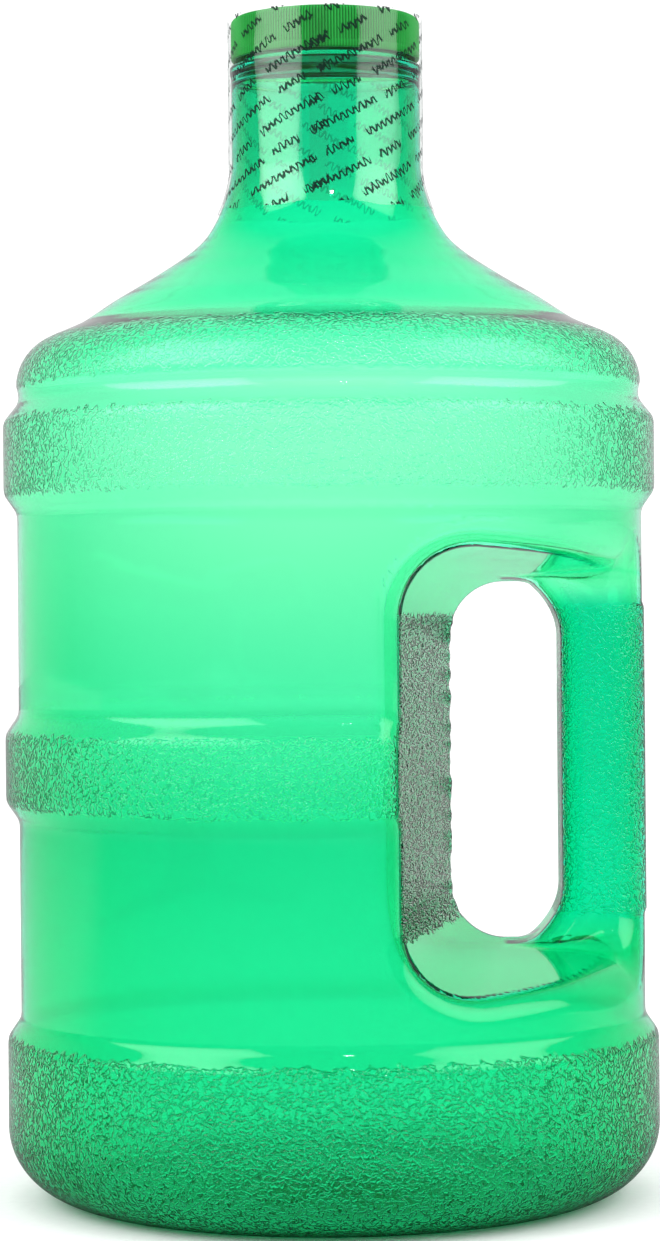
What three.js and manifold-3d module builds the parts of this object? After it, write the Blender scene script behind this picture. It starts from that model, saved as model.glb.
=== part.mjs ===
// One-gallon blow-moulded water jug with a moulded-through grip, a ribbed screw cap with its foam
// liner, and the clear shrink sleeve that seals the cap to the neck.
// Millimetres, +Z up. The origin is the centre of the ring that the jug stands on, +X points from the
// jug's axis to the grip, and the jug's parting plane is Y = 0.
import * as THREE from "three";
import { mergeVertices } from "three/addons/utils/BufferGeometryUtils.js";
import Module from "manifold-3d";

const wasm = await Module();
wasm.setup();

// ---- Driving dimensions ---------------------------------------------------------------------------

const HEIGHT = 300; // floor to cap top
const BAND_R = 83.1; // the raised, grained bands: about 6 1/2 inches across
const WALL_R = 79.7; // the smooth wall between the bands
const WALL = 1.1; // moulded wall thickness
const AROUND = 44; // facets round the jug

const BASE = { ringIn: 48, pushUp: 6.5, cornerR: 21, cornerH: 19.1, top: 41.3 };
const PUSH_UP_FLAT = 0.75; // where the push-up's curve starts to fall, as a share of the ring's radius
const CHAMFER = 4.8; // height of the slope from the wall to a band
const BANDS = [
  { low: 101, high: 118.2 },
  { low: 178.8, high: 197.1 },
];
const GROOVE = { r: 79, high: 204.7 }; // the shoulder's foot
const SHOULDER = { outerR: 79.6, cornerR: 13.6, centreZ: 206, sweep: 66, coneR: 39.3, coneZ: 236.7 };
const FLARE_BEND = { r: 26.7, z: 245 }; // control point of the curve from cone to neck
const NECK = { r: 24.15, low: 261.8, beadR: 24.5, beadLow: 285.2, beadHigh: 288.3, beadEdge: 0.4 };
const FINISH_R = 21.4; // wall that carries the thread
const BORE_R = 19.9; // inside of the threaded finish

const CAP = { r: 24.1, ribDepth: 0.45, ribs: 90, height: 10.7, plate: 1.3, boreR: 22.95 };
const CAP_RIM = { height: 1.6, inset: 0.1 }; // the plain ring under the ribs
const CAP_EDGE = { radius: 1.1, facet: 0.35 }; // the rounding at the cap's top
const CAP_AROUND = 60;
const LINER = { r: 22.4, thickness: 1.1, gap: 0.1, around: 36 };
const CAP_LOW = HEIGHT - CAP.height;
const PLATE_LOW = HEIGHT - CAP.plate;
const LINER_LOW = PLATE_LOW - LINER.gap - LINER.thickness;
const RIM = LINER_LOW - LINER.gap; // top of the jug's mouth

const PITCH = 25.4 / 6; // six threads to the inch
const NECK_THREAD = { root: FINISH_R, crest: 22.6, rootWidth: 2, crestWidth: 0.8 };
const CAP_THREAD = { root: CAP.boreR, crest: 21.75, rootWidth: 1.7, crestWidth: 0.7 };
const THREAD_TOP = RIM - 1.7; // centre line of each thread at its upper end
const THREAD_DROP = 4.7; // how far a thread runs down from there
const THREAD_STEPS = 40;
const THREAD_BITE = 0.4; // how far a thread sinks into the wall that carries it
const THREAD_TIP = 0.05; // a thread's height at its very ends, as a share of its full height
const THREAD_FADE = 8; // a thread rises to its full height over one part in this many of its length

// footShare is where the sleeve's foot lies along the flare, from the cone (0) to the neck (1).
const SLEEVE = { r: 24.75, film: 0.25, flareGap: 0.35, footShare: 0.6, topGap: 0.2 };

const HOLE = { left: 30.7, right: 58.3, low: 65, high: 155.8 }; // the finger hole at the parting plane
const HOLE_Z = (HOLE.low + HOLE.high) / 2;
const HOLE_R = (HOLE.right - HOLE.left) / 2;
const HOLE_X = HOLE.left + HOLE_R;
const POCKET = { far: 100, depth: 89, growX: 0.00276, growZ: 0.00268 }; // hand space, wider at the skin
const GRIP = { outer: 80.3, halfDepth: 14.7, edge: 7.6, cornerR: 9.8, overrun: 3 };
const PLATE_MARGIN = 30; // how far the plate that the grip is cut from reaches past the hole
const PAST = 1; // how far a cutting form runs on past the face that it opens

// ---- Solids ---------------------------------------------------------------------------------------

// A closed three.js geometry as a manifold solid.
function solidOf(geometry) {
  const bare = geometry.clone();
  bare.deleteAttribute("normal");
  bare.deleteAttribute("uv");
  const merged = mergeVertices(bare, 1e-4);
  const triVerts = [];
  for (let i = 0; i < merged.index.count; i += 3) {
    const [a, b, c] = [0, 1, 2].map((k) => merged.index.getX(i + k));
    if (a !== b && b !== c && c !== a) triVerts.push(a, b, c);
  }
  const vertProperties = new Float32Array(merged.attributes.position.array);
  const mesh = new wasm.Mesh({ numProp: 3, vertProperties, triVerts: new Uint32Array(triVerts) });
  return new wasm.Manifold(mesh);
}

// A manifold solid as a flat-shaded three.js geometry.
function geometryOf(solid) {
  const { vertProperties, triVerts } = solid.getMesh();
  const indexed = new THREE.BufferGeometry();
  indexed.setAttribute("position", new THREE.BufferAttribute(new Float32Array(vertProperties), 3));
  indexed.setIndex(new THREE.BufferAttribute(new Uint32Array(triVerts), 1));
  const flat = indexed.toNonIndexed();
  flat.computeVertexNormals();
  return flat;
}

// A solid of revolution about Z from profile points given as (radius, height), lowest first.
function turned(points, segments = AROUND) {
  return solidOf(new THREE.LatheGeometry(points, segments).rotateX(Math.PI / 2));
}

// Moves every vertex of a geometry by a function of its position.
function reshaped(geometry, move) {
  const position = geometry.attributes.position;
  const p = new THREE.Vector3();
  for (let i = 0; i < position.count; i++) {
    move(p.fromBufferAttribute(position, i));
    position.setXYZ(i, p.x, p.y, p.z);
  }
  return geometry;
}

// The profile moved inwards by a distance, square to each stretch. Points on the axis stay there.
function inset(points, distance) {
  if (distance === 0) return points;
  const side = (a, b) => new THREE.Vector2(-(b.y - a.y), b.x - a.x).normalize();
  return points.map((p, i) => {
    const before = side(points[Math.max(i - 1, 0)], points[Math.max(i, 1)]);
    const after = side(points[Math.min(i, points.length - 2)], points[Math.min(i + 1, points.length - 1)]);
    const mitre = before.clone().add(after).normalize();
    const moved = p.clone().addScaledVector(mitre, distance / Math.max(mitre.dot(after), 0.5));
    if (p.x === 0) moved.x = 0;
    return moved;
  });
}

// ---- The jug --------------------------------------------------------------------------------------

const flareCurve = new THREE.QuadraticBezierCurve(
  new THREE.Vector2(SHOULDER.coneR, SHOULDER.coneZ),
  new THREE.Vector2(FLARE_BEND.r, FLARE_BEND.z),
  new THREE.Vector2(NECK.r, NECK.low),
);

// The outside of the jug from the centre of its base up to the foot of the neck, as (radius, height).
function bodyProfile() {
  const cornerX = BAND_R - BASE.cornerR;
  const shoulderX = SHOULDER.outerR - SHOULDER.cornerR;
  const path = new THREE.Path().moveTo(0, BASE.pushUp);
  path.quadraticCurveTo(BASE.ringIn * PUSH_UP_FLAT, BASE.pushUp, BASE.ringIn, 0);
  path.lineTo(cornerX, 0);
  path.absellipse(cornerX, BASE.cornerH, BASE.cornerR, BASE.cornerH, -Math.PI / 2, 0, false);
  path.lineTo(BAND_R, BASE.top);
  path.lineTo(WALL_R, BASE.top + CHAMFER);
  for (const { low, high } of BANDS) {
    path.lineTo(WALL_R, low - CHAMFER);
    path.lineTo(BAND_R, low);
    path.lineTo(BAND_R, high);
    path.lineTo(WALL_R, high + CHAMFER);
  }
  path.lineTo(GROOVE.r, GROOVE.high);
  const sweep = THREE.MathUtils.degToRad(SHOULDER.sweep);
  path.absarc(shoulderX, SHOULDER.centreZ, SHOULDER.cornerR, 0, sweep, false);
  path.lineTo(SHOULDER.coneR, SHOULDER.coneZ);
  const points = path.getPoints(3);
  return [...points, ...flareCurve.getPoints(5).slice(1)];
}

// The jug's outside (wall = 0), or the water space that lies one wall inside it.
function jugForm(wall) {
  const points = inset(bodyProfile(), wall);
  const neck = (r, z) => new THREE.Vector2(r, z);
  if (wall === 0) {
    points.push(neck(NECK.r, NECK.beadLow));
    points.push(neck(NECK.beadR, NECK.beadLow + NECK.beadEdge));
    points.push(neck(NECK.beadR, NECK.beadHigh - NECK.beadEdge));
    points.push(neck(NECK.beadR - NECK.beadEdge, NECK.beadHigh));
    points.push(neck(FINISH_R, NECK.beadHigh), neck(FINISH_R, RIM), neck(0, RIM));
  } else {
    const step = NECK.r - wall - BORE_R;
    points.push(neck(NECK.r - wall, NECK.beadLow - step), neck(BORE_R, NECK.beadLow));
    points.push(neck(BORE_R, RIM + PAST), neck(0, RIM + PAST));
  }
  return turned(points).subtract(pocket(wall)).add(grip(wall));
}

// The hand space: a tall rounded opening that widens from the parting plane to both skins. It runs out
// past the grip side, and the grip is added back afterwards.
function pocket(wall) {
  const [left, r] = [HOLE.left - wall, HOLE_R + wall];
  const [low, high] = [HOLE.low - wall, HOLE.high + wall];
  const outline = new THREE.Shape().moveTo(POCKET.far, low).lineTo(POCKET.far, high);
  outline.lineTo(left + r, high);
  outline.absarc(left + r, high - r, r, Math.PI / 2, Math.PI, false);
  outline.absarc(left + r, low + r, r, Math.PI, Math.PI * 1.5, false);
  const settings = { depth: POCKET.depth, bevelEnabled: false, curveSegments: 8 };
  const half = new THREE.ExtrudeGeometry(outline, settings);
  reshaped(half, (p) => {
    const depth = p.z;
    const x = POCKET.far + (p.x - POCKET.far) * (1 + POCKET.growX * depth);
    const z = HOLE_Z + (p.y - HOLE_Z) * (1 + POCKET.growZ * depth);
    p.set(x, -depth, z);
  });
  const front = solidOf(half);
  return front.add(front.mirror([0, 1, 0]));
}

// The grip, a plate round the finger hole with rounded edges, trimmed to a rounded bar on its outer side.
// One wall inwards it is the grip's hollow.
function grip(wall) {
  const [halfDepth, r, edge] = [GRIP.halfDepth - wall, HOLE_R + wall, GRIP.edge - wall];
  const [west, east] = [HOLE.left - PLATE_MARGIN, HOLE.right + PLATE_MARGIN];
  const [foot, head] = [HOLE.low - PLATE_MARGIN, HOLE.high + PLATE_MARGIN];
  const plate = new THREE.Shape().moveTo(west, foot).lineTo(east, foot).lineTo(east, head).lineTo(west, head);
  const hole = new THREE.Path().absarc(HOLE_X, HOLE.low + HOLE_R, r, Math.PI, Math.PI * 2, false);
  hole.absarc(HOLE_X, HOLE.high - HOLE_R, r, 0, Math.PI, false);
  plate.holes.push(hole);
  const straight = 2 * (halfDepth - edge);
  const rounding = { bevelThickness: edge, bevelSize: edge, bevelOffset: -edge, bevelSegments: 3 };
  const ring = new THREE.ExtrudeGeometry(plate, { depth: straight, curveSegments: 8, ...rounding });
  reshaped(ring, (p) => p.set(p.x, p.z - straight / 2, p.y));
  return flipped(ring).intersect(gripBar(wall));
}

// The grip's section seen from above, round at its two outer corners. It runs a little way up and down
// past the hole, so that both its ends lie inside the jug's own form.
function gripBar(wall) {
  const [outer, halfDepth, r] = [GRIP.outer - wall, GRIP.halfDepth - wall, GRIP.cornerR - wall];
  const height = HOLE.high - HOLE.low + 2 * GRIP.overrun;
  const section = new THREE.Shape().moveTo(HOLE_X + wall, -halfDepth).lineTo(outer - r, -halfDepth);
  section.absarc(outer - r, -halfDepth + r, r, -Math.PI / 2, 0, false);
  section.absarc(outer - r, halfDepth - r, r, 0, Math.PI / 2, false);
  section.lineTo(HOLE_X + wall, halfDepth);
  const bar = new THREE.ExtrudeGeometry(section, { depth: height, bevelEnabled: false, curveSegments: 5 });
  return solidOf(bar.translate(0, 0, HOLE_Z - height / 2));
}

// A geometry turned inside out by an axis swap, with its faces put back.
function flipped(geometry) {
  const position = geometry.attributes.position;
  const [a, b] = [new THREE.Vector3(), new THREE.Vector3()];
  for (let i = 0; i < position.count; i += 3) {
    a.fromBufferAttribute(position, i + 1);
    b.fromBufferAttribute(position, i + 2);
    position.setXYZ(i + 1, b.x, b.y, b.z);
    position.setXYZ(i + 2, a.x, a.y, a.z);
  }
  return solidOf(geometry);
}

// A right-handed thread whose ridge stands from its root radius to its crest, fading out at both ends.
// halfTurn shifts it half a turn round, so that a cap's thread runs midway between a neck's.
function thread({ root, crest, rootWidth, crestWidth }, halfTurn) {
  const out = Math.sign(crest - root);
  const base = root - out * THREAD_BITE;
  const section = new THREE.Shape().moveTo(base, -rootWidth / 2).lineTo(root, -rootWidth / 2);
  section.lineTo(crest, -crestWidth / 2).lineTo(crest, crestWidth / 2);
  section.lineTo(root, rootWidth / 2).lineTo(base, rootWidth / 2);
  const ridge = new THREE.ExtrudeGeometry(section, { depth: 1, steps: THREAD_STEPS, bevelEnabled: false });
  const turns = THREAD_DROP / PITCH;
  reshaped(ridge, (p) => {
    const share = p.z;
    const fade = Math.min(1, THREAD_FADE * share, THREAD_FADE * (1 - share));
    const r = root + (p.x - root) * (p.x === base ? 1 : Math.max(fade, THREAD_TIP));
    const angle = share * turns * 2 * Math.PI + (halfTurn ? Math.PI : 0);
    const z = THREAD_TOP - THREAD_DROP + share * THREAD_DROP + p.y;
    p.set(r * Math.cos(angle), r * Math.sin(angle), z);
  });
  const made = solidOf(ridge);
  return made.volume() < 0 ? flipped(ridge) : made;
}

function jug() {
  return jugForm(0).add(thread(NECK_THREAD, false)).subtract(jugForm(WALL));
}

// ---- Cap, liner and sleeve ------------------------------------------------------------------------

// A solid of revolution from [radius, height] pairs.
function turnedPairs(pairs, segments) {
  return turned(pairs.map(([r, z]) => new THREE.Vector2(r, z)), segments);
}

function screwCap() {
  const valley = CAP.r - CAP.ribDepth;
  const star = new THREE.Shape();
  for (let i = 0; i < CAP.ribs * 2; i++) {
    const angle = (i * Math.PI) / CAP.ribs;
    const r = i % 2 ? valley : CAP.r;
    star[i ? "lineTo" : "moveTo"](r * Math.cos(angle), r * Math.sin(angle));
  }
  const ribLow = CAP_LOW + CAP_RIM.height;
  const ribbed = new THREE.ExtrudeGeometry(star, { depth: HEIGHT - ribLow, bevelEnabled: false });
  ribbed.translate(0, 0, ribLow);
  const rimR = CAP.r - CAP_RIM.inset;
  const rim = turnedPairs([[0, CAP_LOW], [rimR, CAP_LOW], [rimR, ribLow], [0, ribLow]], CAP_AROUND);
  const { radius, facet } = CAP_EDGE;
  const blank = turnedPairs([
    [0, CAP_LOW],
    [CAP.r, CAP_LOW],
    [CAP.r, HEIGHT - radius],
    [CAP.r - facet, HEIGHT - facet],
    [CAP.r - radius, HEIGHT],
    [0, HEIGHT],
  ], CAP_AROUND);
  const bore = turnedPairs([
    [0, CAP_LOW - PAST],
    [CAP.boreR, CAP_LOW - PAST],
    [CAP.boreR, PLATE_LOW],
    [0, PLATE_LOW],
  ]);
  return rim.add(solidOf(ribbed)).intersect(blank).subtract(bore).add(thread(CAP_THREAD, true));
}

function capLiner() {
  const top = LINER_LOW + LINER.thickness;
  return turnedPairs([[0, LINER_LOW], [LINER.r, LINER_LOW], [LINER.r, top], [0, top]], LINER.around);
}

// A film tube that hugs cap and neck. Its foot opens out with the last part of the neck's flare.
function shrinkSleeve() {
  const shares = [0, 0.25, 0.5, 0.75, 1].map((s) => THREE.MathUtils.lerp(SLEEVE.footShare, 1, s));
  const foot = shares.map((share) => flareCurve.getPoint(share));
  const inner = foot.map(({ x, y }) => new THREE.Vector2(Math.max(x + SLEEVE.flareGap, SLEEVE.r), y));
  inner.push(new THREE.Vector2(SLEEVE.r, HEIGHT - SLEEVE.topGap));
  const outer = inner.map(({ x, y }) => new THREE.Vector2(x + SLEEVE.film, y));
  return turned([...outer, ...inner.reverse(), outer[0].clone()]);
}

// ---- Assembly -------------------------------------------------------------------------------------

const greenPlastic = { color: 0x2fe08f, roughness: 0.08, metalness: 0, transparent: true, opacity: 0.6 };
const capPlastic = { color: 0x3a9a4b, roughness: 0.35, metalness: 0 };
const foam = { color: 0xf2f0ea, roughness: 0.9, metalness: 0 };
const film = { color: 0xf4f8f6, roughness: 0.1, metalness: 0, transparent: true, opacity: 0.3 };

function piece(name, solid, settings) {
  const mesh = new THREE.Mesh(geometryOf(solid), new THREE.MeshStandardMaterial(settings));
  mesh.name = name;
  return mesh;
}

const group = new THREE.Group();
group.add(piece("jug_shell", jug(), greenPlastic));
group.add(piece("screw_cap", screwCap(), capPlastic));
group.add(piece("cap_liner", capLiner(), foam));
group.add(piece("shrink_sleeve", shrinkSleeve(), film));

export default group;
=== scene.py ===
"""Looks of a translucent green water jug with a moulded-through grip, a ribbed screw cap with a foam
liner, and a clear printed shrink sleeve. Lengths are in millimetres up to the point where a mesh is
made, and the jug's outline follows the CAD frame: +Z up, grip towards +X, parting plane Y = 0."""

import math

import bpy
import numpy as np
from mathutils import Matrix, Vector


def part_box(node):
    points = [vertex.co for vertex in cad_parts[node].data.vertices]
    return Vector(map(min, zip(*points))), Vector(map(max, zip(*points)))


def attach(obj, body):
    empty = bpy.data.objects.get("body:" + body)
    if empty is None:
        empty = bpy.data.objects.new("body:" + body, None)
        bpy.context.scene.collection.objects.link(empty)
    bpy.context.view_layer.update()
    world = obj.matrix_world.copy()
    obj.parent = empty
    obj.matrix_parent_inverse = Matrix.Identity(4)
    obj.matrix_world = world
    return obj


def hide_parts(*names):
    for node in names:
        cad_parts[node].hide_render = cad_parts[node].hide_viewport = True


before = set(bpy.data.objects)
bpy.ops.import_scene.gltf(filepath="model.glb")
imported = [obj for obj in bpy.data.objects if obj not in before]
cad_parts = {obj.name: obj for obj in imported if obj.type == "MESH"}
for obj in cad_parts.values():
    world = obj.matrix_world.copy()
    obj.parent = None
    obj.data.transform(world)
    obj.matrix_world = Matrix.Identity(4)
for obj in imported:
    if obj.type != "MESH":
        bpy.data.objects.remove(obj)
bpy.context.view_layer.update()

import openvdb

MM = 0.001

# ---- Sizes ----------------------------------------------------------------------------------------


def box_mm(node):
    """A CAD node's lowest and highest corners in millimetres."""
    low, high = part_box(node)
    return [v / MM for v in low], [v / MM for v in high]


JUG_LOW, JUG_HIGH = box_mm("jug_shell")
CAP_LOW, CAP_HIGH = box_mm("screw_cap")
LINER_LOW, LINER_HIGH = box_mm("cap_liner")
SLEEVE_LOW, SLEEVE_HIGH = box_mm("shrink_sleeve")

BAND_R = JUG_HIGH[0] - 0.15  # over the raised bands
WALL_R = BAND_R - 3.4  # between them
RIM = JUG_HIGH[2]
WALL = 1.1
BORE_R = 19.9
FINISH_R = 21.4  # the neck finish, at the root of its thread
ROUNDING = 0.8  # how softly the blown corners are rounded
CRISP = 0.3  # and those of the moulded finish

BASE = dict(ring_in=48.0, push_up=6.3, corner_r=21.0, corner_h=19.1)
BASE["corner_x"] = BAND_R - BASE["corner_r"]
BASE_BAND_TOP = 41.3
CHAMFER = 4.8
BANDS = ((101.0, 118.2), (178.8, 197.1))
SHOULDER = dict(r=79.6, corner_r=13.6, centre_z=206.0, sweep=72)
# Cone and flare up to the neck, as (radius, height).
CONE = ((63.3, 221.8), (54.6, 227.7), (45.7, 232.9), (37.6, 238.1), (33.9, 240.9), (31.2, 243.5))
FLARE = ((29.5, 246.0), (28.0, 248.7), (26.8, 251.3), (25.8, 254.0), (25.0, 256.8), (24.4, 259.5))
NECK_R, NECK_LOW = 24.1, 262.0
BEAD = dict(r=24.45, low=285.2, high=288.3)

THREAD = dict(top=RIM - 1.7, drop=4.7, pitch=25.4 / 6, height=1.2, root=1.0, crest=0.4)

HOLE = dict(left=30.7, right=58.3, low=65.0, high=155.8)
HOLE_Z = (HOLE["low"] + HOLE["high"]) / 2
HOLE_HALF = (HOLE["high"] - HOLE["low"]) / 2
HOLE_R = (HOLE["right"] - HOLE["left"]) / 2
POCKET = dict(lean_x=0.191, lean_z=0.1215, round_gain=0.06, edge=4.8)
GRIP = dict(half_depth=14.5, corner=9.8, edge=7.6, stand=0.55)
GRAIN_WALL_Z = (70.5, 147.5)
GRAIN_GRIP_Z = (72.0, 149.5)

# ---- Fields ---------------------------------------------------------------------------------------
# A field is negative inside the plastic's outer skin and positive outside, in millimetres.


def smoothstep(low, high, value):
    share = np.clip((value - low) / (high - low), 0, 1)
    return share * share * (3 - 2 * share)


def softened(z, r, width, step=0.1):
    """A radius profile averaged over a short length, which rounds its corners."""
    zs = np.arange(z[0] - 20, z[-1] + 20, step)
    rs = np.interp(zs, z, r)
    reach = int(4 * width / step)
    kernel = np.exp(-0.5 * (np.arange(-reach, reach + 1) * step / width) ** 2)
    return zs, np.convolve(np.pad(rs, reach, mode="edge"), kernel / kernel.sum(), mode="valid")


def profile_points():
    """The jug's side from the top of its base corner to the neck, as (height, radius)."""
    points = [(BASE["corner_h"] - 30, BAND_R), (BASE_BAND_TOP, BAND_R), (BASE_BAND_TOP + CHAMFER, WALL_R)]
    for low, high in BANDS:
        points += [(low - CHAMFER, WALL_R), (low, BAND_R), (high, BAND_R), (high + CHAMFER, WALL_R)]
    points[-1] = (BANDS[-1][1] + CHAMFER, WALL_R - 0.5)
    points.append((SHOULDER["centre_z"] - 1.5, WALL_R - 0.6))
    for degree in range(0, SHOULDER["sweep"] + 1, 6):
        angle = math.radians(degree)
        r = SHOULDER["r"] - SHOULDER["corner_r"] * (1 - math.cos(angle))
        points.append((SHOULDER["centre_z"] + SHOULDER["corner_r"] * math.sin(angle), r))
    points += [(z, r) for r, z in CONE + FLARE]
    points.append((NECK_LOW, NECK_R))
    return points


def skin_profile():
    """Height and radius tables of the outer skin, with crisp corners only on the neck finish."""
    body = profile_points()
    finish = [
        (BEAD["low"], NECK_R), (BEAD["low"] + 0.5, BEAD["r"]), (BEAD["high"] - 0.5, BEAD["r"]),
        (BEAD["high"], FINISH_R), (RIM + 5, FINISH_R),
    ]
    z, r = np.array(body + finish).T
    zs, soft = softened(z, r, ROUNDING)
    _, crisp = softened(z, r, CRISP)
    share = smoothstep(266, 276, zs)
    return zs, soft * (1 - share) + crisp * share


def core_profile():
    """The same tables for the skin that the inside follows, one wall away."""
    body = profile_points()
    finish = [(BEAD["low"] - 2, NECK_R), (BEAD["high"] - 1, BORE_R + WALL), (RIM + 5, BORE_R + WALL)]
    z, r = np.array(body + finish).T
    return softened(z, r, ROUNDING)


SKIN = skin_profile()
CORE = core_profile()


def side_field(profile, r, z, extra=0.0):
    """The turned side from a radius profile, made extra wider where the thread stands out."""
    zs, rs = profile
    slope = np.gradient(rs, zs)
    z = np.maximum(z, BASE["corner_h"])
    return (r - np.interp(z, zs, rs) - extra) / np.hypot(1, np.interp(z, zs, slope))


def base_field(r, z):
    """The underside: a push-up, the ring that the jug stands on, and the elliptical corner."""
    dome = BASE["push_up"] * (0.5 + 0.5 * np.cos(np.pi * np.clip((r - 14) / (BASE["ring_in"] - 12), 0, 1)))
    flat = dome - z
    across = np.maximum(r - BASE["corner_x"], 0) / BASE["corner_r"]
    down = np.maximum(BASE["corner_h"] - z, 0) / BASE["corner_h"]
    reach = np.hypot(across, down)
    steep = np.hypot(across / BASE["corner_r"], down / BASE["corner_h"]) / np.maximum(reach, 1e-6)
    corner = (reach - 1) / np.maximum(steep, 1 / BASE["corner_r"])
    return np.where((r > BASE["corner_x"]) & (z < BASE["corner_h"]), corner, flat)


def rounded_both(a, b, radius):
    """Inside both fields, with the edge between them rounded."""
    corner = np.hypot(np.maximum(a + radius, 0), np.maximum(b + radius, 0))
    return np.minimum(-radius, np.maximum(a, b)) + corner


def thread_ridge(x, y, z):
    """How far the neck's thread stands out of the finish at each point."""
    turns = THREAD["drop"] / THREAD["pitch"]
    turn = np.arctan2(y, x) / (2 * np.pi) % 1
    ridge = np.zeros_like(z)
    for lap in (-1, 0, 1, 2):
        share = (turn + lap) / turns
        centre = THREAD["top"] - THREAD["drop"] * (1 - share)
        fade = smoothstep(-0.02, 0.08, share) * smoothstep(1.02, 0.92, share)
        tall = np.clip((THREAD["root"] - np.abs(z - centre)) / (THREAD["root"] - THREAD["crest"]), 0, 1)
        ridge = np.maximum(ridge, THREAD["height"] * fade * tall)
    return ridge


def parting_flash(depth, z):
    """The ragged line that the mould halves leave where they pinch the hole's grained side: a long wave
    that comes and goes, with a short one on it."""
    low, high = GRAIN_WALL_Z
    grained = smoothstep(low - 2, low + 2, z) * smoothstep(high, high - 3, z)
    swell = 0.5 + 0.5 * np.sin(z / 3.3 + 1.0)
    ragged = 0.5 * swell * np.sin(z / 1.5 + 1.8 * np.sin(z / 5.1)) + 0.2 * np.sin(z / 0.72)
    return ragged * grained * np.exp(-((depth / 1.3) ** 2))


def pocket_field(x, y, z):
    """The hand space: negative where it is open. It widens from the parting plane to both skins."""
    depth = np.abs(y)
    left = HOLE["left"] - POCKET["lean_x"] * depth + parting_flash(depth, z)
    half = HOLE_HALF + POCKET["lean_z"] * depth
    radius = HOLE_R + POCKET["round_gain"] * depth
    across = left + radius - x
    up = np.abs(z - HOLE_Z) - half + radius
    corner = np.hypot(np.maximum(across, 0), np.maximum(up, 0))
    return (corner + np.minimum(np.maximum(across, up), 0) - radius) * 0.985


def grip_field(x, y, z):
    """The grip's sides and its face towards the fingers. Its outer face is the jug's own skin. Over and
    under the hole it sinks away into the pocket's ceiling and floor."""
    across = np.maximum(x - HOLE["left"] - HOLE_R, 0)
    up = np.maximum(np.abs(z - HOLE_Z) - HOLE_HALF + HOLE_R, 0)
    merging = 2.4 * smoothstep(HOLE["left"] + HOLE_R + 13, HOLE["left"] + HOLE_R, x)
    beside = HOLE_R + merging - np.hypot(across, up)
    deep = np.abs(y) - GRIP["half_depth"]
    start = HOLE["left"] + HOLE_R - x
    return np.maximum(rounded_both(deep, beside, GRIP["edge"]), start)


def hand_space_field(x, y, z):
    """What the hand space takes away: the pocket, less the grip, with a fillet where the two meet. The
    fillet is tight in the crease over the finger hole and wide where the grip spreads into the skin."""
    fillet = 1.6 + 11 * smoothstep(56, 76, x)
    return rounded_both(pocket_field(x, y, z), -grip_field(x, y, z), fillet)


def grip_skin(r, x, z):
    """The outer skin over the grip: no band, but a grained stretch that stands a little proud."""
    grained = smoothstep(GRAIN_GRIP_Z[0] - 1, GRAIN_GRIP_Z[0] + 0.6, z)
    grained = grained * smoothstep(GRAIN_GRIP_Z[1] + 1, GRAIN_GRIP_Z[1] - 0.6, z)
    return r - WALL_R - GRIP["stand"] * grained


def jug_field(profile, x, y, z, thread=0.0):
    """The jug below its mouth, from one of the two profiles."""
    r = np.hypot(x, y)
    side = side_field(profile, r, z, thread)
    near_grip = (x > 45) & (np.abs(z - HOLE_Z) < HOLE_HALF + 8)
    side = np.where(near_grip, grip_skin(r, x, z), side)
    edge = POCKET["edge"] + 1.6 * smoothstep(22, 40, x) + (GRIP["corner"] - 6.4) * smoothstep(54, 70, x)
    return rounded_both(np.maximum(side, base_field(r, z)), -hand_space_field(x, y, z), edge)


def skin_field(x, y, z):
    """The whole outside, up to the mouth's rim."""
    return rounded_both(jug_field(SKIN, x, y, z, thread_ridge(x, y, z)), z - RIM, 0.5)


def inside_field(x, y, z):
    """The hollow: one wall inside the core profile, and open at the mouth."""
    return np.maximum(jug_field(CORE, x, y, z) + WALL, z - RIM - 2)


# ---- Skins from fields ----------------------------------------------------------------------------


def grid_heights(low, high, step):
    """Heights of the sampling layers: even over the body, twice as fine over the neck finish."""
    heights = [low]
    while heights[-1] < high:
        heights.append(heights[-1] + step * (1 - 0.55 * float(smoothstep(240, 264, heights[-1]))))
    return np.array(heights)


def squeeze(z):
    """How much the sampling grid is narrowed at a height, so that the neck gets finer samples."""
    return 1 - 0.6 * smoothstep(222, 262, z)


def slope_of(field, points, step):
    """A field's gradient at points, by differences over a short way."""
    gradient = np.empty_like(points)
    for axis in range(3):
        shift = np.zeros(3)
        shift[axis] = step
        gradient[:, axis] = (field(*(points + shift).T) - field(*(points - shift).T)) / (2 * step)
    return gradient


def settled(field, points, rounds=3):
    """Points moved onto the surface where the field is zero."""
    for _ in range(rounds):
        gradient = slope_of(field, points, 0.05)
        length2 = np.maximum((gradient ** 2).sum(1), 0.05)
        move = -gradient * (field(*points.T) / length2)[:, None]
        points = points + np.clip(move, -0.8, 0.8)
    return points


def evened(field, points, faces, rounds):
    """Points spread more evenly over the surface: each moves towards its faces' centres, then back on."""
    for _ in range(rounds):
        centres = points[faces].mean(1)
        total = np.zeros_like(points)
        count = np.zeros(len(points))
        for corner in range(4):
            np.add.at(total, faces[:, corner], centres)
            np.add.at(count, faces[:, corner], 1)
        points = settled(field, total / np.maximum(count, 1)[:, None], 1)
    return points


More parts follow.
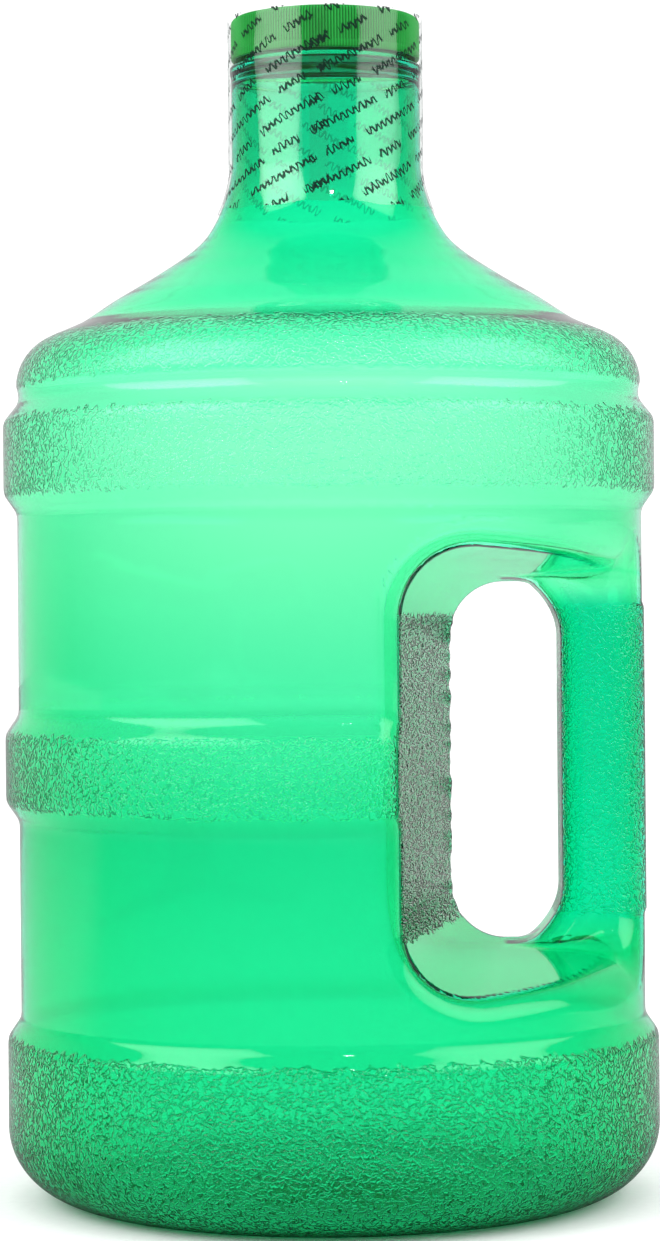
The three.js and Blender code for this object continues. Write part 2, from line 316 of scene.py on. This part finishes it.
def skin_of(field, step, top):
    """Points and quads of a field's surface."""
    reach = BAND_R + 3 * step
    side = np.arange(-math.ceil(reach / step), math.ceil(reach / step) + 1) * step
    heights = grid_heights(-3 * step, top, step)
    u, v, w = np.meshgrid(side, side, heights, indexing="ij")
    narrow = squeeze(w)
    values = field(u * narrow, v * narrow, w)
    grid = openvdb.FloatGrid(background=10.0)
    grid.copyFromArray(np.clip(values, -6, 6).astype(np.float32))
    points, faces = grid.convertToQuads(isovalue=0.0)
    z = np.interp(points[:, 2], np.arange(len(heights)), heights)
    across = (points[:, :2] * step + side[0]) * squeeze(z)[:, None]
    points = np.column_stack([across, z]).astype(np.float64)
    faces = np.asarray(faces, dtype=np.int64)
    return evened(field, settled(field, points), faces, 3), faces


# ---- Meshes ---------------------------------------------------------------------------------------


def new_piece(name, points, faces, normals=None):
    """A smooth-shaded mesh object from points in millimetres."""
    mesh = bpy.data.meshes.new(name)
    mesh.from_pydata((np.asarray(points) * MM).tolist(), [], [list(map(int, face)) for face in faces])
    mesh.update()
    mesh.polygons.foreach_set("use_smooth", [True] * len(mesh.polygons))
    if normals is not None:
        mesh.normals_split_custom_set_from_vertices(normals.tolist())
    piece = bpy.data.objects.new(name, mesh)
    bpy.context.scene.collection.objects.link(piece)
    return piece


def points_of(mesh):
    flat = np.empty(len(mesh.vertices) * 3)
    mesh.vertices.foreach_get("co", flat)
    return flat.reshape(-1, 3) / MM


def cut_out(body, hollow):
    """The body's mesh with the hollow taken away, as one closed skin. The two source meshes go."""
    cutter = body.modifiers.new("hollow", "BOOLEAN")
    cutter.operation = "DIFFERENCE"
    cutter.solver = "MANIFOLD"
    cutter.object = hollow
    graph = bpy.context.evaluated_depsgraph_get()
    result = bpy.data.meshes.new_from_object(body.evaluated_get(graph))
    for piece in (body, hollow):
        bpy.data.objects.remove(piece)
    return result


def grain_zones(points, on_skin):
    """Which outer surfaces can be grained: the turned side, the pocket's wall and the grip."""
    x, y, z = points.T
    wall = np.abs(pocket_field(x, y, z)) < 0.4
    beside_hole = np.abs(z - HOLE_Z) < HOLE_HALF + 6
    grip = (np.hypot(np.maximum(x - 62, 0), np.abs(y)) < 27) & (x > 50) & beside_hole & ~wall
    return {"side": on_skin & ~wall & ~grip, "wall": on_skin & wall, "grip": on_skin & grip}


def make_jug():
    step = 1.2
    outside = new_piece("outside", *skin_of(skin_field, step, RIM + 4))
    hollow = new_piece("hollow", *skin_of(inside_field, step * 1.3, RIM + 4))
    mesh = cut_out(outside, hollow)
    mesh.name = "jug"
    points = points_of(mesh)
    skin, inside = skin_field(*points.T), inside_field(*points.T)
    on_skin = np.abs(skin) < np.abs(inside)
    outward = slope_of(skin_field, points, 0.25)
    inward = -slope_of(inside_field, points, 0.25)
    normals = np.where(on_skin[:, None], outward, inward)
    normals /= np.linalg.norm(normals, axis=1)[:, None]
    mesh.polygons.foreach_set("use_smooth", [True] * len(mesh.polygons))
    mesh.normals_split_custom_set_from_vertices(normals.tolist())
    for zone, share in grain_zones(points, on_skin).items():
        mesh.attributes.new(zone, "FLOAT", "POINT").data.foreach_set("value", share.astype(np.float32))
    jug = bpy.data.objects.new("jug", mesh)
    bpy.context.scene.collection.objects.link(jug)
    return jug


def turned(rows, around, radius_at=None):
    """Points and faces of a lathe form. Rows are (radius, height, kind); radius_at may change a radius by
    angle. The first and last rows lie on the axis."""
    angles = np.arange(around) * 2 * np.pi / around
    points = [(0.0, 0.0, rows[0][1])]
    for r, z, kind in rows[1:-1]:
        rs = np.full(around, float(r)) if radius_at is None else radius_at(r, z, kind, angles)
        points += list(zip(rs * np.cos(angles), rs * np.sin(angles), np.full(around, float(z))))
    points.append((0.0, 0.0, rows[-1][1]))
    faces = []
    rings = len(rows) - 2

    def ring(row, i):
        return 1 + row * around + i % around

    for i in range(around):
        faces.append((0, ring(0, i), ring(0, i + 1)))
        for row in range(rings - 1):
            faces.append((ring(row, i), ring(row + 1, i), ring(row + 1, i + 1), ring(row, i + 1)))
        faces.append((ring(rings - 1, i), len(points) - 1, ring(rings - 1, i + 1)))
    return np.array(points), faces


RIBS = 200
RIB_DEPTH = 0.36
RIB_SHAPE = np.array([1.0, 0.45, 0.0, 0.0, 0.45])  # depth of the groove across one rib


def cap_radius(r, z, kind, angles):
    """The cap's radius by angle: ribs on the skirt, a thread in the bore."""
    if kind == "rib":
        return r - RIB_DEPTH * np.tile(RIB_SHAPE, RIBS)
    if kind == "edge":
        return r - 0.5 * RIB_DEPTH * np.tile(RIB_SHAPE, RIBS)
    if kind == "bore":
        return r - thread_ridge(-r * np.cos(angles), -r * np.sin(angles), np.full_like(angles, z))
    return np.full_like(angles, r)


def make_cap():
    top, foot, outer = CAP_HIGH[2], CAP_LOW[2], CAP_HIGH[0]
    bore, ceiling = 22.95, LINER_HIGH[2] + 0.1
    rows = [(0, top, ""), (0.5 * outer, top, ""), (outer - 2.2, top, ""), (outer - 1.5, top - 0.05, "")]
    rows += [(outer - 0.9, top - 0.2, ""), (outer - 0.45, top - 0.5, "edge")]
    rows += [(outer - 0.12, top - 0.95, "rib"), (outer, top - 1.5, "rib")]
    rows += [(outer, top - 4.5, "rib"), (outer, foot + 2.1, "rib")]
    rows += [(outer - 0.02, foot + 1.85, "edge"), (outer - 0.02, foot + 1.7, ""), (outer, foot + 1.5, "")]
    rows += [(outer, foot + 0.55, ""), (outer - 0.1, foot + 0.25, ""), (outer - 0.35, foot + 0.03, "")]
    rows += [(bore + 0.3, foot, ""), (bore + 0.05, foot + 0.15, "")]
    rows += [(bore, z, "bore") for z in np.arange(foot + 0.5, ceiling - 0.4, 0.42)]
    rows += [(bore - 0.05, ceiling - 0.15, ""), (bore - 0.3, ceiling, ""), (0.5 * bore, ceiling, "")]
    rows.append((0, ceiling, ""))
    return new_piece("ribbed_cap", *turned(rows, RIBS * len(RIB_SHAPE), cap_radius))


def make_liner():
    low, high, outer = LINER_LOW[2], LINER_HIGH[2], LINER_HIGH[0]
    press = 0.16  # how deep the mouth has pressed a ring into the foam
    rows = [(0, high), (outer - 1, high), (outer - 0.25, high - 0.06), (outer, high - 0.3)]
    rows += [(outer, low + 0.3), (outer - 0.25, low + 0.06), (outer - 0.6, low)]
    rows += [(FINISH_R + 0.1, low), (FINISH_R - 0.2, low + press), (BORE_R + 0.2, low + press)]
    rows += [(BORE_R - 0.1, low), (0.5 * BORE_R, low), (0, low)]
    return new_piece("foam_liner", *turned([(r, z, "") for r, z in rows], 96))


SEAM_ANGLE = math.radians(-99.5)  # where the film's seam is, from +X
OVERLAP = math.radians(11)  # how far one end laps over the other
HUG = 0.45  # how far the film stands off the flare


def make_sleeve():
    """One open sheet wrapped round cap and neck. Its ends overlap in a seam at the front."""
    low, high = SLEEVE_LOW[2], SLEEVE_HIGH[2]
    inner = CAP_HIGH[0] + 0.75
    across, up = 300, 46
    wrap = np.linspace(0, 2 * np.pi + OVERLAP, across + 1)
    share = np.linspace(0, 1, up + 1)
    angle, rise = np.meshgrid(wrap, share, indexing="ij")
    ragged = 0.35 * np.sin(5 * angle + 0.7) + 0.25 * np.sin(13 * angle + 2.1) + 0.5
    z = low + ragged * (1 - rise) + (high - low) * rise
    over_flare = np.interp(z, *SKIN) + HUG
    radius = np.maximum(inner, over_flare) + 0.13 * smoothstep(0.0, 2 * np.pi, angle)
    ripple = np.sin(19 * angle + 0.16 * z) * 0.4 + np.sin(31 * angle - 0.1 * z + 1) * 0.3
    creases = np.sin(7 * angle + 0.35 * z) * 0.5
    radius = radius + 0.05 * (ripple + creases) * smoothstep(high, high - 6, z)
    turn = angle + SEAM_ANGLE
    points = np.stack([radius * np.cos(turn), radius * np.sin(turn), z], axis=-1)
    index = np.arange((across + 1) * (up + 1)).reshape(across + 1, up + 1)
    corners = [index[:-1, :-1], index[1:, :-1], index[1:, 1:], index[:-1, 1:]]
    faces = np.stack(corners, axis=-1).reshape(-1, 4)
    sleeve = new_piece("printed_sleeve", points.reshape(-1, 3), faces)
    unrolled = np.stack([angle * inner, z - low], axis=-1).reshape(-1, 2)
    sheet = sleeve.data.uv_layers.new(name="unrolled")
    corners = np.empty(len(sleeve.data.loops), dtype=np.int32)
    sleeve.data.loops.foreach_get("vertex_index", corners)
    sheet.data.foreach_set("uv", (unrolled[corners] * MM).ravel())
    return sleeve


# ---- Materials ------------------------------------------------------------------------------------


class Nodes:
    """A material's node tree with short calls for the nodes used here."""

    def __init__(self, name):
        self.material = bpy.data.materials.new(name)
        self.material.use_nodes = True
        self.tree = self.material.node_tree
        self.surface = self.tree.nodes["Principled BSDF"]
        self.output = self.tree.nodes["Material Output"]

    def add(self, kind, **settings):
        node = self.tree.nodes.new(kind)
        for name, value in settings.items():
            setattr(node, name, value)
        return node

    def link(self, source, target):
        if isinstance(source, (int, float, tuple)):
            target.default_value = source
        else:
            self.tree.links.new(source, target)

    def math(self, operation, *values, clamp=False):
        node = self.add("ShaderNodeMath", operation=operation, use_clamp=clamp)
        for value, socket in zip(values, node.inputs):
            self.link(value, socket)
        return node.outputs[0]

    def step(self, value, low, high):
        """0 below low and 1 above high, smooth between."""
        node = self.add("ShaderNodeMapRange", interpolation_type="SMOOTHSTEP")
        self.link(value, node.inputs["Value"])
        node.inputs["From Min"].default_value = low
        node.inputs["From Max"].default_value = high
        return node.outputs["Result"]

    def noise(self, vector, scale, detail=2.0, distortion=0.0):
        node = self.add("ShaderNodeTexNoise")
        self.link(vector, node.inputs["Vector"])
        node.inputs["Scale"].default_value = scale
        node.inputs["Detail"].default_value = detail
        node.inputs["Distortion"].default_value = distortion
        return node.outputs["Fac"]

    def place(self):
        return self.add("ShaderNodeTexCoord").outputs["Object"]

    def ramp(self, value, stops):
        """A colour by value: stops are (position, (r, g, b))."""
        node = self.add("ShaderNodeValToRGB")
        self.link(value, node.inputs["Fac"])
        band = node.color_ramp.elements
        while len(band) < len(stops):
            band.new(0.5)
        for element, (position, colour) in zip(band, stops):
            element.position = position
            element.color = (*colour, 1)
        return node.outputs["Color"]

    def mix(self, share, first, second, blend="MIX"):
        """Two colours mixed: the first at share 0, the second at share 1."""
        node = self.add("ShaderNodeMix", data_type="RGBA", blend_type=blend)
        self.link(share, node.inputs[0])
        self.link(first, node.inputs[6])
        self.link(second, node.inputs[7])
        return node.outputs[2]

    def bump(self, height, distance):
        node = self.add("ShaderNodeBump")
        self.link(height, node.inputs["Height"])
        node.inputs["Distance"].default_value = distance
        return node.outputs["Normal"]

    def give(self, **values):
        for name, value in values.items():
            self.link(value, self.surface.inputs[name.replace("_", " ").title().replace("Ior", "IOR")])


# The green by height in millimetres. The wall is thin and pale where it was blown widest, thick and deep
# at the base and the neck.
GREEN_BY_HEIGHT = (
    (6, (0.075, 0.74, 0.44)),
    (26, (0.078, 0.745, 0.45)),
    (48, (0.075, 0.745, 0.45)),
    (92, (0.075, 0.755, 0.46)),
    (122, (0.23, 0.885, 0.585)),
    (160, (0.38, 0.94, 0.65)),
    (202, (0.52, 0.97, 0.745)),
    (218, (0.42, 0.97, 0.72)),
    (229, (0.27, 0.98, 0.71)),
    (238, (0.12, 0.94, 0.64)),
    (254, (0.045, 0.86, 0.58)),
    (268, (0.02, 0.80, 0.54)),
)
GRIP_GREEN = (0.02, 0.75, 0.49)
CREASE_SHADE_GREEN = (0.0, 0.12, 0.06)  # painted shade, multiplied in along the grain's wrinkles
SLANT_GREEN = (0.05, 0.88, 0.62)  # and where the wall is seen at a slant


def jug_green(m, place, x, z):
    """The plastic's green: by height, with a slow drift, and deep in the thick-walled grip."""
    share = m.math("DIVIDE", z, RIM * MM, clamp=True)
    drift = m.math("MULTIPLY", m.math("SUBTRACT", m.noise(place, 9.0), 0.5), 0.06)
    by_height = m.ramp(m.math("ADD", share, drift), [(mm / RIM, green) for mm, green in GREEN_BY_HEIGHT])
    beside_hole = m.step(m.math("ABSOLUTE", m.math("SUBTRACT", z, HOLE_Z * MM)), 46 * MM, 37 * MM)
    in_grip = m.math("MULTIPLY", m.step(x, 50 * MM, 60 * MM), beside_hole)
    return m.mix(in_grip, by_height, (*GRIP_GREEN, 1))


# Grained stretches in millimetres of height: (zone of the surface, lowest, highest, how deep the grain is)
GRAINED = (
    ("side", -10.0, 42.4, 1.0),
    ("side", BANDS[0][0] - 0.8, BANDS[0][1] + 0.6, 0.9),
    ("side", BANDS[1][0] - 0.8, BANDS[1][1] + 0.6, 0.8),
    ("side", 205.8, 218.8, 0.7),
    ("wall", *GRAIN_WALL_Z, 10.0),
    ("grip", *GRAIN_GRIP_Z, 0.8),
)


def grain_depth(m, place, z):
    """How deep the mould's grain is: it starts and stops along each stretch's slightly ragged edges. It is
    left out where the skin is seen from inside, as the far side's grain doesn't show through the jug."""
    depth = 0.0
    ragged = m.math("MULTIPLY", m.math("SUBTRACT", m.noise(place, 420, 1.0), 0.5), 3.6 * MM)
    z = m.math("ADD", z, ragged)
    for zone, low, high, deep in GRAINED:
        inside = m.math("MULTIPLY", m.step(z, (low - 0.2) * MM, (low + 0.2) * MM), deep)
        inside = m.math("MULTIPLY", inside, m.step(z, (high + 0.2) * MM, (high - 0.2) * MM))
        marked = m.add("ShaderNodeAttribute", attribute_name=zone).outputs["Fac"]
        depth = m.math("MAXIMUM", m.math("MULTIPLY", inside, marked), depth)
    from_outside = m.math("SUBTRACT", 1.0, m.add("ShaderNodeNewGeometry").outputs["Backfacing"])
    return m.math("MULTIPLY", depth, from_outside)


def jug_plastic():
    """Clear green plastic. It is deeper in colour at a slant, where more of the wall is looked through.
    Its grained zones are wrinkled like leather, with painted shade along each wrinkle that is stronger at a
    slant and low down."""
    m = Nodes("clear_green_plastic")
    place = m.place()
    split = m.add("ShaderNodeSeparateXYZ")
    m.link(place, split.inputs[0])
    x, z = split.outputs["X"], split.outputs["Z"]
    grain = grain_depth(m, place, z)
    on_wall = m.add("ShaderNodeAttribute", attribute_name="wall").outputs["Fac"]
    spread = m.add("ShaderNodeCombineXYZ")
    m.link(x, spread.inputs["X"])
    drawn_out = m.math("SUBTRACT", 1.0, m.math("MULTIPLY", on_wall, 0.78))
    m.link(m.math("MULTIPLY", split.outputs["Y"], drawn_out), spread.inputs["Y"])
    m.link(m.math("MULTIPLY", z, m.math("ADD", 1.0, m.math("MULTIPLY", on_wall, 0.5))), spread.inputs["Z"])
    away = m.math("ABSOLUTE", m.math("SUBTRACT", m.noise(spread.outputs[0], 680, 1.0, 0.4), 0.5))
    fine = m.noise(place, 1500, 1.0, 0.2)
    leather = m.math("MULTIPLY", m.step(away, 0.0, 0.12), 0.8)
    wrinkle = m.math("ADD", leather, m.math("MULTIPLY", fine, 0.25))
    waves = m.math("MULTIPLY", m.noise(place, 28, 2.0), 0.35)
    relief = m.math("ADD", m.math("MULTIPLY", wrinkle, grain), waves)
    facing = m.add("ShaderNodeLayerWeight").outputs["Facing"]
    slim = m.math("MULTIPLY", away, m.math("SUBTRACT", 1.2, m.math("MULTIPLY", facing, 0.7)))
    # Painted shade along the wrinkles: deeper where the skin is seen at a slant and low on the jug
    crease = m.math("MULTIPLY", m.math("SUBTRACT", 1.0, m.step(slim, 0.015, 0.05)), grain, clamp=True)
    low_down = m.math("MULTIPLY", m.step(z, 190 * MM, 40 * MM), 0.38)
    shade = m.math("MULTIPLY", m.math("ADD", m.step(facing, 0.0, 0.5), low_down, clamp=True), crease)
    green = jug_green(m, place, x, z)
    slant = m.math("MULTIPLY", m.math("ADD", facing, m.math("MULTIPLY", on_wall, 0.5)), 0.9, clamp=True)
    slanted = m.mix(slant, green, (*SLANT_GREEN, 1), "MULTIPLY")
    tint = m.mix(shade, slanted, (*CREASE_SHADE_GREEN, 1), "MULTIPLY")
    m.give(base_color=tint, roughness=m.math("ADD", m.math("MULTIPLY", shade, 0.03), 0.03))
    m.give(ior=1.42, transmission_weight=1.0, normal=m.bump(relief, 0.00019))
    return m.material


def cap_plastic():
    """Opaque green polyethylene, with faint flow marks and painted shade in the grooves between the ribs.
    """
    m = Nodes("cap_polyethylene")
    place = m.place()
    split = m.add("ShaderNodeSeparateXYZ")
    m.link(place, split.inputs[0])
    x, y = split.outputs["X"], split.outputs["Y"]
    wave = m.math("COSINE", m.math("MULTIPLY", m.math("ARCTAN2", y, x), RIBS))
    across = m.math("SQRT", m.math("ADD", m.math("MULTIPLY", x, x), m.math("MULTIPLY", y, y)))
    on_skirt = m.step(across, (CAP_HIGH[0] - 1.2) * MM, (CAP_HIGH[0] - 0.9) * MM)
    # Painted shade in the grooves between the ribs
    groove_shade = m.math("MULTIPLY", m.step(wave, 0.0, 0.9), on_skirt)
    cloud = m.noise(place, 60, 3.0)
    tint = m.ramp(cloud, [(0.35, (0.009, 0.27, 0.035)), (0.65, (0.015, 0.33, 0.048))])
    tint = m.mix(groove_shade, tint, (0.35, 0.42, 0.35, 1), "MULTIPLY")
    m.give(base_color=tint, roughness=m.math("ADD", m.math("MULTIPLY", m.noise(place, 900), 0.12), 0.24))
    m.give(specular_ior_level=0.08, normal=m.bump(m.noise(place, 2600, 2.0), 0.00002))
    m.surface.inputs["Subsurface Weight"].default_value = 0.15
    m.surface.inputs["Subsurface Radius"].default_value = (0.3, 1.0, 0.4)
    m.surface.inputs["Subsurface Scale"].default_value = 0.001
    return m.material


def liner_foam():
    """White foamed polyethylene with closed cells."""
    m = Nodes("white_foam")
    place = m.place()
    cells = m.add("ShaderNodeTexVoronoi", feature="SMOOTH_F1")
    m.link(place, cells.inputs["Vector"])
    cells.inputs["Scale"].default_value = 1900
    tint = m.ramp(cells.outputs["Distance"], [(0.1, (0.86, 0.85, 0.82)), (0.7, (0.93, 0.92, 0.9))])
    m.give(base_color=tint, roughness=0.75, normal=m.bump(cells.outputs["Distance"], 0.00012))
    return m.material


ROW_TILT = math.radians(27)
ROW_PITCH = 6.4 * MM
ROW_SHIFT = 12.7  # how far each row is shifted along from the one below
SQUIGGLE = dict(period=1.8, tall=1.0, line=0.22)
RUNS = ((0.0, 19.0), (22.0, 30.0))  # where a row is printed, along one repeat
REPEAT = 34.0


def sleeve_marks(m):
    """Rows of plain squiggles that climb round the sleeve: 1 on a stroke, 0 elsewhere."""
    sheet = m.add("ShaderNodeUVMap", uv_map="unrolled").outputs["UV"]
    split = m.add("ShaderNodeSeparateXYZ")
    m.link(sheet, split.inputs[0])
    u, v = split.outputs["X"], split.outputs["Y"]
    c, s = math.cos(ROW_TILT), math.sin(ROW_TILT)
    along = m.math("ADD", m.math("MULTIPLY", u, c), m.math("MULTIPLY", v, s))
    up = m.math("DIVIDE", m.math("SUBTRACT", m.math("MULTIPLY", v, c), m.math("MULTIPLY", u, s)), ROW_PITCH)
    row = m.math("FLOOR", up)
    off = m.math("MULTIPLY", m.math("SUBTRACT", m.math("SUBTRACT", up, row), 0.5), ROW_PITCH / MM)
    along = m.math("ADD", m.math("DIVIDE", along, MM), m.math("MULTIPLY", row, ROW_SHIFT))
    sway = m.math("MULTIPLY", m.noise(sheet, 260, 1.0), 5.0)
    phase = m.math("ADD", m.math("MULTIPLY", along, 2 * math.pi / SQUIGGLE["period"]), sway)
    swell = m.math("MULTIPLY", m.math("SUBTRACT", m.noise(sheet, 420, 0.0), 0.25), 2.6)
    tall = m.math("MULTIPLY", m.math("MAXIMUM", swell, 0.35), SQUIGGLE["tall"])
    wave = m.math("MULTIPLY", m.math("SINE", phase), tall)
    slope = 2 * math.pi / SQUIGGLE["period"] * SQUIGGLE["tall"]
    steep = m.math("MULTIPLY", m.math("COSINE", phase), slope)
    lean = m.math("SQRT", m.math("ADD", m.math("MULTIPLY", steep, steep), 1.0))
    gap = m.math("DIVIDE", m.math("ABSOLUTE", m.math("SUBTRACT", off, wave)), lean)
    stroke = m.math("SUBTRACT", 1.0, m.step(gap, SQUIGGLE["line"] * 0.6, SQUIGGLE["line"] * 1.3))
    place = m.math("MODULO", m.math("ADD", along, 1000 * REPEAT), REPEAT)
    printed = 0.0
    for start, end in RUNS:
        inside = m.math("MULTIPLY", m.step(place, start, start + 0.1), m.step(place, end + 0.1, end))
        printed = m.math("MAXIMUM", inside, printed)
    return m.math("MULTIPLY", stroke, printed)


def sleeve_film():
    """Clear film with dark ink, fainter from inside. It doesn't bend what is seen through it."""
    m = Nodes("clear_film")
    ink = m.surface
    m.give(base_color=(0.004, 0.018, 0.012, 1), roughness=0.3, specular_ior_level=0.1)
    clear = m.add("ShaderNodeBsdfTransparent")
    clear.inputs["Color"].default_value = (0.95, 0.975, 0.965, 1)
    gloss = m.add("ShaderNodeBsdfGlossy")
    gloss.inputs["Roughness"].default_value = 0.04
    facing = m.add("ShaderNodeLayerWeight").outputs["Facing"]
    mirror = m.math("ADD", m.math("MULTIPLY", m.math("POWER", facing, 6.0), 0.6), 0.09)
    film = m.add("ShaderNodeMixShader")
    m.link(mirror, film.inputs[0])
    m.link(clear.outputs[0], film.inputs[1])
    m.link(gloss.outputs[0], film.inputs[2])
    printed = m.add("ShaderNodeMixShader")
    behind = m.add("ShaderNodeNewGeometry").outputs["Backfacing"]
    strong = m.math("SUBTRACT", 0.95, m.math("MULTIPLY", behind, 0.6))
    m.link(m.math("MULTIPLY", sleeve_marks(m), strong), printed.inputs[0])
    m.link(film.outputs[0], printed.inputs[1])
    m.link(ink.outputs[0], printed.inputs[2])
    m.link(printed.outputs[0], m.output.inputs["Surface"])
    return m.material


# ---- Studio ---------------------------------------------------------------------------------------

STAND_OFF = 873 * MM  # camera to the jug's axis
EYE = 148.4 * MM
ROLL = 0.5  # degrees that the camera leans


def add_camera():
    camera = bpy.data.objects.new("camera", bpy.data.cameras.new("camera"))
    camera.data.lens = 98.95
    camera.data.sensor_width = 36
    camera.data.shift_y = -0.0068
    camera.data.clip_end = 50
    camera.location = (0, -STAND_OFF, EYE)
    camera.rotation_euler = (math.pi / 2, math.radians(ROLL), 0)
    bpy.context.scene.collection.objects.link(camera)
    bpy.context.scene.camera = camera


def add_panel(name, azimuth, distance, centre_z, width, height, glow):
    """A soft panel facing the jug, fading at its edges. Azimuth is in degrees from the front, positive to
    the right. glow is how bright its middle looks, with plain white at 1."""
    light = bpy.data.lights.new(name, "AREA")
    light.shape = "RECTANGLE"
    light.size, light.size_y = width, height
    light.energy = glow * math.pi * width * height
    fade_edges(light)
    panel = bpy.data.objects.new(name, light)
    angle = math.radians(azimuth)
    panel.location = (distance * math.sin(angle), -distance * math.cos(angle), centre_z)
    panel.rotation_euler = (math.pi / 2, 0, angle)
    bpy.context.scene.collection.objects.link(panel)


def fade_edges(light):
    """Makes an area light weaker towards its four edges."""
    light.use_nodes = True
    tree = light.node_tree
    split = tree.nodes.new("ShaderNodeSeparateXYZ")
    tree.links.new(tree.nodes.new("ShaderNodeNewGeometry").outputs["Parametric"], split.inputs[0])
    glow = 1.0
    for axis in ("X", "Y"):
        ramp = tree.nodes.new("ShaderNodeFloatCurve")
        tree.links.new(split.outputs[axis], ramp.inputs["Value"])
        points = ramp.mapping.curves[0].points
        points[0].location = (0, 0)
        points[1].location = (1, 0)
        points.new(0.2, 1)
        points.new(0.8, 1)
        both = tree.nodes.new("ShaderNodeMath")
        both.operation = "MULTIPLY"
        both.inputs[0].default_value = 1.0
        if axis == "Y":
            tree.links.new(glow, both.inputs[0])
        tree.links.new(ramp.outputs[0], both.inputs[1])
        glow = both.outputs[0]
    tree.links.new(glow, tree.nodes["Emission"].inputs["Strength"])


def add_floor():
    """A white floor. It is dimmer as seen in and through the jug, most of all its mirrored front half,
    so that it doesn't veil the wall."""
    mesh = bpy.data.meshes.new("floor")
    side = 6.0
    corners = [(-side, -side, 0), (side, -side, 0), (side, side, 0), (-side, side, 0)]
    mesh.from_pydata(corners, [], [(0, 1, 2, 3)])
    floor = bpy.data.objects.new("floor", mesh)
    m = Nodes("floor_paper")
    path = m.add("ShaderNodeLightPath")
    glossy, passed = path.outputs["Is Glossy Ray"], path.outputs["Is Transmission Ray"]
    mirrored = m.math("SUBTRACT", glossy, passed, clamp=True)
    split = m.add("ShaderNodeSeparateXYZ")
    m.link(m.place(), split.inputs[0])
    front = m.step(split.outputs["Y"], 0.15, -0.1)
    tone = m.ramp(m.noise(m.place(), 400), [(0.3, (0.90, 0.90, 0.90)), (0.7, (0.93, 0.93, 0.93))])
    through = m.mix(passed, tone, (1.0, 1.0, 1.0, 1))
    mirror = m.mix(front, (0.4, 0.4, 0.4, 1), (0.1, 0.1, 0.1, 1))
    m.give(base_color=m.mix(mirrored, through, mirror), roughness=0.9, specular_ior_level=0.1)
    mesh.materials.append(m.material)
    bpy.context.scene.collection.objects.link(floor)


WHITE = 1.25  # how bright the backdrop is: over white, as in an overexposed product picture
MIRRORED = 0.75  # how bright it is as the jug's outside mirrors it
DIM = 0.1  # how bright the camera's side of the room is, as mirrored
DIM_THROUGH = 0.4  # and as seen through the wall's tight bends


def add_surroundings():
    """A bright white backdrop behind the jug and a dim room on the camera's side. Only what the jug
    mirrors or bends sees the dim side, so the floor and the background stay white."""
    world = bpy.data.worlds.new("studio")
    world.use_nodes = True
    tree = world.node_tree
    way = tree.nodes.new("ShaderNodeTexCoord")
    split = tree.nodes.new("ShaderNodeSeparateXYZ")
    tree.links.new(way.outputs["Generated"], split.inputs[0])
    path = tree.nodes.new("ShaderNodeLightPath")
    strength = WHITE
    seen = (("Is Glossy Ray", DIM, MIRRORED), ("Is Transmission Ray", DIM_THROUGH, WHITE))
    for kind, dim, bright in seen:
        room = tree.nodes.new("ShaderNodeMapRange")
        tree.links.new(split.outputs["Y"], room.inputs["Value"])
        room.inputs["From Min"].default_value = 0.3
        room.inputs["From Max"].default_value = 0.95
        room.inputs["To Min"].default_value = dim
        room.inputs["To Max"].default_value = bright
        mix = tree.nodes.new("ShaderNodeMix")
        tree.links.new(path.outputs[kind], mix.inputs["Factor"])
        if strength == WHITE:
            mix.inputs["A"].default_value = WHITE
        else:
            tree.links.new(strength, mix.inputs["A"])
        tree.links.new(room.outputs["Result"], mix.inputs["B"])
        strength = mix.outputs["Result"]
    background = tree.nodes["Background"]
    background.inputs["Color"].default_value = (1, 1, 1, 1)
    tree.links.new(strength, background.inputs["Strength"])
    bpy.context.scene.world = world


# ---- The picture ----------------------------------------------------------------------------------


def place_piece(piece, material, body, node):
    piece.data.materials.clear()
    piece.data.materials.append(material)
    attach(piece, body)
    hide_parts(node)


add_camera()
place_piece(make_jug(), jug_plastic(), "jug", "jug_shell")
place_piece(make_cap(), cap_plastic(), "cap", "screw_cap")
place_piece(make_liner(), liner_foam(), "liner", "cap_liner")
place_piece(make_sleeve(), sleeve_film(), "sleeve", "shrink_sleeve")

bpy.context.scene.view_settings.view_transform = "Standard"
add_surroundings()
add_floor()
add_panel("left_panel", -58, 1.0, 0.95, 1.15, 1.25, 2.8)
add_panel("right_panel", 66, 1.0, 0.95, 1.15, 1.25, 2.2)
add_panel("lamp", 7, 1.0, 1.32, 0.08, 0.08, 50.0)
